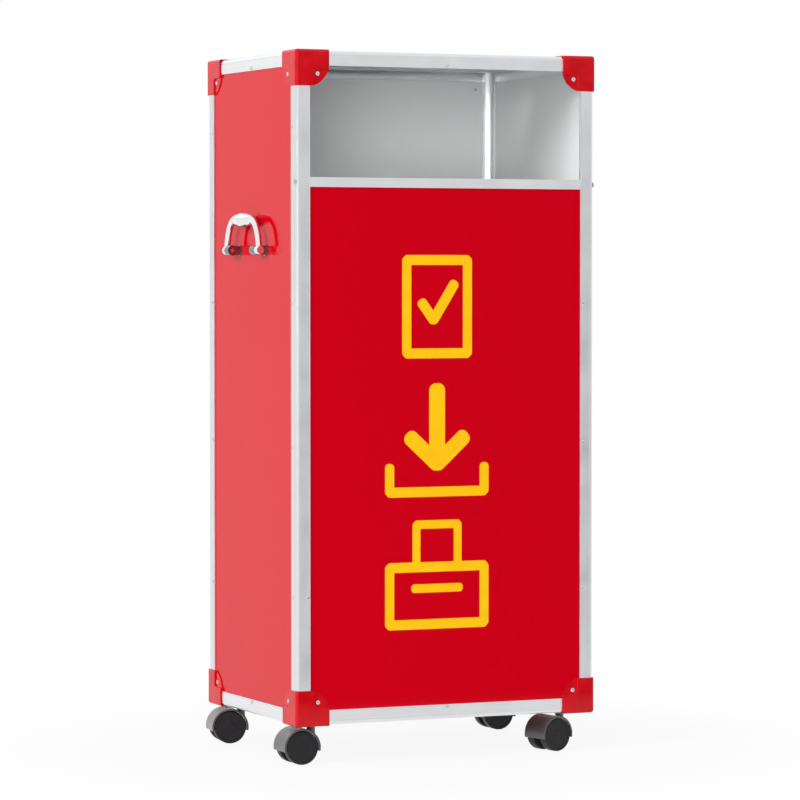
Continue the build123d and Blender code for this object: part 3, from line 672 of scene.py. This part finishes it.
def wheelMaster():      # axis along +Z, its inner face at 0 and the outer face at the top
    shape = wheelShape
    radius, slope, hub, bore = (shape[name] for name in ("radius", "slope", "hub", "bore"))
    master = addDisc("wheel", radius, (0, 0, 0), (0, 0, shape["width"]), shape["sides"])
    pickCap(master)
    stepsFrom(radius, ((0, shape["rim"]), (-shape["dish"], shape["rim"] - slope), (0, shape["cap"] + slope),
                       (shape["capRise"], shape["cap"])))
    leaveEdit()
    pickFaces(master, lambda middle, normal: normal.z < -shaping["capNormal"] and middle.z < slope)
    stepsFrom(radius, ((0, shape["backRim"]), (shape["backDepth"], shape["backRim"] - slope), (0, hub),
                       (-shape["backDepth"], hub), (0, bore), (shape["boreDepth"], bore)))
    leaveEdit()
    pickEdges(master, lambda a, b: abs(a.z - b.z) < slope and min(a.xy.length, b.xy.length) > radius - slope)
    bpy.ops.mesh.bevel(offset=shape["treadRound"], segments=shape["treadSegments"], affect="EDGES")
    leaveEdit()
    roundEdges(master, shape["edgeRound"], shape["edgeSegments"], shape["edgeAngle"])
    smooth(master)
    return master


def addWheels():        # the two of a caster turn their dished faces away from each other
    master = wheelMaster()
    for corner in casterCorners:
        middles = {}
        for letter in "ab":
            low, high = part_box("wheel_" + corner + "_" + letter)
            middles[letter] = (low + high) / 2
        for letter, other in ("ab", "ba"):
            outward = (middles[letter] - middles[other]).normalized()
            inner = middles[letter] - outward * wheelShape["width"] / 2
            nodeName = "wheel_" + corner + "_" + letter
            wheel = placedCopy(master, facing(inner, outward))
            wheel.name = "turned_" + nodeName
            finishedPiece(wheel, nodeName, wheelFinish, [nodeName])
    bpy.data.objects.remove(master)


addWheels()
print("wheels moulded")


# Signs in cut vinyl on the front: a marked paper, an arrow into a tray, and a box with a paper in its slot

signShape = {"thick": 0.18 * mm, "seat": 0.02 * mm, "middle": -16.0 * mm,
             # shares of a stroke's width: its rounding, and how far it runs past its ends
             "corner": 0.42, "past": 0.35, "segments": 6,
             # height of its middle, then strokes: start and end across and up, and width, all in mm
             "paper": (681.0, ((-50, -70, -50, 70, 15), (50, -70, 50, 70, 15), (-50, 70, 50, 70, 15),
                               (-50, -70, 50, -70, 15), (-25, 6, -6, -20, 16), (-6, -20, 28, 34, 16))),
             "arrow": (479.0, ((0, 78, 0, -26, 26), (-44, 6, 0, -34, 24), (44, 6, 0, -34, 24),
                               (-78, -38, -78, -76, 15), (78, -38, 78, -76, 15), (-78, -76, 78, -76, 15))),
             "box": (280.0, ((-78, 10, -78, -76, 15), (78, 10, 78, -76, 15), (-78, 10, 78, 10, 15),
                             (-78, -76, 78, -76, 15), (-34, 10, -34, 74, 13), (34, 10, 34, 74, 13),
                             (-34, 74, 34, 74, 13), (-38, -22, 38, -22, 13)))}


def addStroke(startX, startZ, endX, endZ, width):      # a bar with rounded corners in the plane of the front
    shape = signShape
    reach = Vector((endX - startX, endZ - startZ)) * mm
    half, wide = reach.length / 2 + shape["past"] * width * mm, width * mm / 2
    stroke = addBlock("stroke", (-half, -shape["thick"], -wide), (half, 0, wide))
    pickEdges(stroke, lambda a, b: abs(a.y - b.y) > shape["thick"] / 2)        # those through the film
    bpy.ops.mesh.bevel(offset=shape["corner"] * wide * 2, segments=shape["segments"], affect="EDGES")
    leaveEdit()
    middle = Vector(((startX + endX) / 2 * mm, 0, (startZ + endZ) / 2 * mm))
    turn = Matrix.Rotation(-math.atan2(reach.y, reach.x), 4, "Y")
    stroke.data.transform(Matrix.Translation(middle) @ turn)
    return stroke


def addSign(kind):
    level, strokes = signShape[kind]
    sign = addStroke(*strokes[0])
    for stroke in strokes[1:]:
        merged(sign, addStroke(*stroke), "UNION")
    sign.name = "vinyl_" + kind
    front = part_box("front_panel")[0].y - signShape["seat"]
    sign.data.transform(Matrix.Translation((signShape["middle"], front, level * mm)))
    finishedPiece(sign, "cabinet", vinylFinish)


for kind in ("paper", "arrow", "box"):
    addSign(kind)
print("signs stuck on")


# Floor, light and camera

studio = {"floorHalf": 15.0, "floorFront": -0.85, "floor": "#dcdcdc", "floorRough": 0.9, "seenShare": 0.91,
          "fadeStart": 0.40, "fadeEnd": 0.85, "world": 0.50, "gloss": 0.97,
          # dark cards that only gloss sees, so that the front isn't veiled and the chrome has its dark lines:
          # direction, half angle up to which a card is full, half angle where it ends, and its level
          "cards": (((0.404, -0.914, -0.045), 5.5, 8.0, 0.05), ((0.17, -0.985, -0.045), 3.0, 10.0, 0.3),
                    ((0.62, -0.785, -0.045), 3.0, 10.0, 0.3), ((-0.62, -0.78, 0.05), 4.0, 9.0, 0.3),
                    ((-1.0, 0.10, 0.05), 5.0, 10.0, 0.3)),
          # softboxes aimed at the middle of the object: place, size, power, seen in gloss, lights the paint
          "aim": (0.0, 0.0, 0.55),
          "softboxes": {"key": ((-5.2, -1.9, 2.8), 2.4, 222.0, False, True),
                        "glint": ((-5.2, -1.9, 2.8), 2.4, 20.0, True, False),
                        "fill": ((-2.6, -4.6, 1.15), 2.2, 99.0, False, True),
                        "back": ((3.2, 4.4, 1.6), 2.2, 110.0, False, True),
                        "top": ((0.0, 0.4, 4.6), 2.2, 30.0, False, True),
                        "rim": ((-2.1, 4.7, 3.3), 2.2, 9.0, True, False),
                        "edge": ((-4.7, -2.15, 0.75), 0.7, 5.0, True, False)}}


def plainlySeen(tree, path):        # 1 where the camera, gloss or glass looks, 0 where only paint is lit
    looked = addNode(tree, "ShaderNodeMath", {"operation": "MAXIMUM"}, links={
        0: path.outputs["Is Camera Ray"], 1: path.outputs["Is Glossy Ray"]})
    return addNode(tree, "ShaderNodeMath", {"operation": "MAXIMUM"}, links={
        0: looked.outputs[0], 1: path.outputs["Is Transmission Ray"]}).outputs[0]


def addFloor():     # white paper that keeps the shadow near the box and fades to plain white around it
    half = studio["floorHalf"]
    deselectAll()
    bpy.ops.mesh.primitive_plane_add(size=2 * half, location=(0, studio["floorFront"] + half, 0))
    floor = bpy.context.active_object
    floor.name = "studioFloor"
    settle(floor)
    made, tree = newMaterial("mattPaperFloor")
    place = addNode(tree, "ShaderNodeTexCoord").outputs["Object"]
    away = addNode(tree, "ShaderNodeVectorMath", {"operation": "LENGTH"}, links={0: place})
    faded = addNode(tree, "ShaderNodeMapRange", {"interpolation_type": "SMOOTHSTEP"}, {
        "From Min": studio["fadeStart"], "From Max": studio["fadeEnd"], "To Min": studio["seenShare"],
        "To Max": 1.0}, {"Value": away.outputs["Value"]})
    seen = plainlySeen(tree, addNode(tree, "ShaderNodeLightPath"))
    share = addNode(tree, "ShaderNodeMath", {"operation": "MULTIPLY"}, links={0: faded.outputs[0], 1: seen})
    paper = addNode(tree, "ShaderNodeBsdfPrincipled", values={
        "Base Color": linear(studio["floor"]), "Roughness": studio["floorRough"], "Specular IOR Level": 0.0})
    glow = addNode(tree, "ShaderNodeEmission", values={"Strength": 1.0})
    both = addNode(tree, "ShaderNodeMixShader", links={
        "Fac": share.outputs[0], 1: paper.outputs[0], 2: glow.outputs[0]})
    addNode(tree, "ShaderNodeOutputMaterial", links={"Surface": both.outputs[0]})
    floor.data.materials.append(made)


def addWorld():     # white all round, with the dark cards in the gloss
    world = bpy.data.worlds.new("studioWorld")
    sceneData.world = world
    world.use_nodes = True
    tree = world.node_tree
    tree.nodes.clear()
    path = addNode(tree, "ShaderNodeLightPath")
    lit = addNode(tree, "ShaderNodeMapRange", values={"To Min": studio["world"], "To Max": 1.0},
                  links={"Value": plainlySeen(tree, path)})
    toward = addNode(tree, "ShaderNodeTexCoord")
    gloss = None
    for direction, full, gone, dark in studio["cards"]:
        near = addNode(tree, "ShaderNodeVectorMath", {"operation": "DOT_PRODUCT"}, {
            1: Vector(direction).normalized()}, {0: toward.outputs["Generated"]})
        shade = addNode(tree, "ShaderNodeMapRange", {"interpolation_type": "SMOOTHSTEP"}, {
            "From Min": math.cos(math.radians(gone)), "From Max": math.cos(math.radians(full)),
            "To Min": studio["gloss"], "To Max": dark}, {"Value": near.outputs["Value"]}).outputs[0]
        if gloss is None:
            gloss = shade
        else:
            gloss = addNode(tree, "ShaderNodeMath", {"operation": "MINIMUM"},
                            links={0: gloss, 1: shade}).outputs[0]
    level = addNode(tree, "ShaderNodeMix", {"data_type": "FLOAT"}, links={
        "Factor": path.outputs["Is Glossy Ray"], "A": lit.outputs[0], "B": gloss})
    sky = addNode(tree, "ShaderNodeBackground", values={"Color": (1, 1, 1, 1)}, links={
        "Strength": level.outputs["Result"]})
    addNode(tree, "ShaderNodeOutputWorld", links={"Surface": sky.outputs[0]})


def addSoftbox(name):
    place, size, power, inGloss, onPaint = studio["softboxes"][name]
    data = bpy.data.lights.new(name + "Softbox", "AREA")
    data.shape = "DISK"
    data.size = size
    data.energy = power
    lamp = bpy.data.objects.new(name + "Softbox", data)
    sceneData.collection.objects.link(lamp)
    lamp.location = place
    lamp.rotation_euler = (Vector(studio["aim"]) - Vector(place)).to_track_quat("-Z", "Y").to_euler()
    lamp.visible_camera = False
    lamp.visible_glossy = inGloss
    lamp.visible_diffuse = onPaint


# the camera that was fitted to the photograph's straight edges
cameraView = {"place": (-2.394, -5.404, 0.728), "yaw": 23.91, "pitch": 1.867, "lens": 172.1, "sensor": 36.0,
              "clipEnd": 100.0}


def addCamera():
    data = bpy.data.cameras.new("photoCamera")
    data.sensor_width = cameraView["sensor"]
    data.lens = cameraView["lens"]
    data.clip_end = cameraView["clipEnd"]
    eye = bpy.data.objects.new("photoCamera", data)
    sceneData.collection.objects.link(eye)
    eye.location = cameraView["place"]
    eye.rotation_euler = (math.radians(90 - cameraView["pitch"]), 0, math.radians(-cameraView["yaw"]))
    sceneData.camera = eye


addFloor()
addWorld()
for name in studio["softboxes"]:
    addSoftbox(name)
addCamera()
sceneData.view_settings.view_transform = "Standard"
print("studio ready")
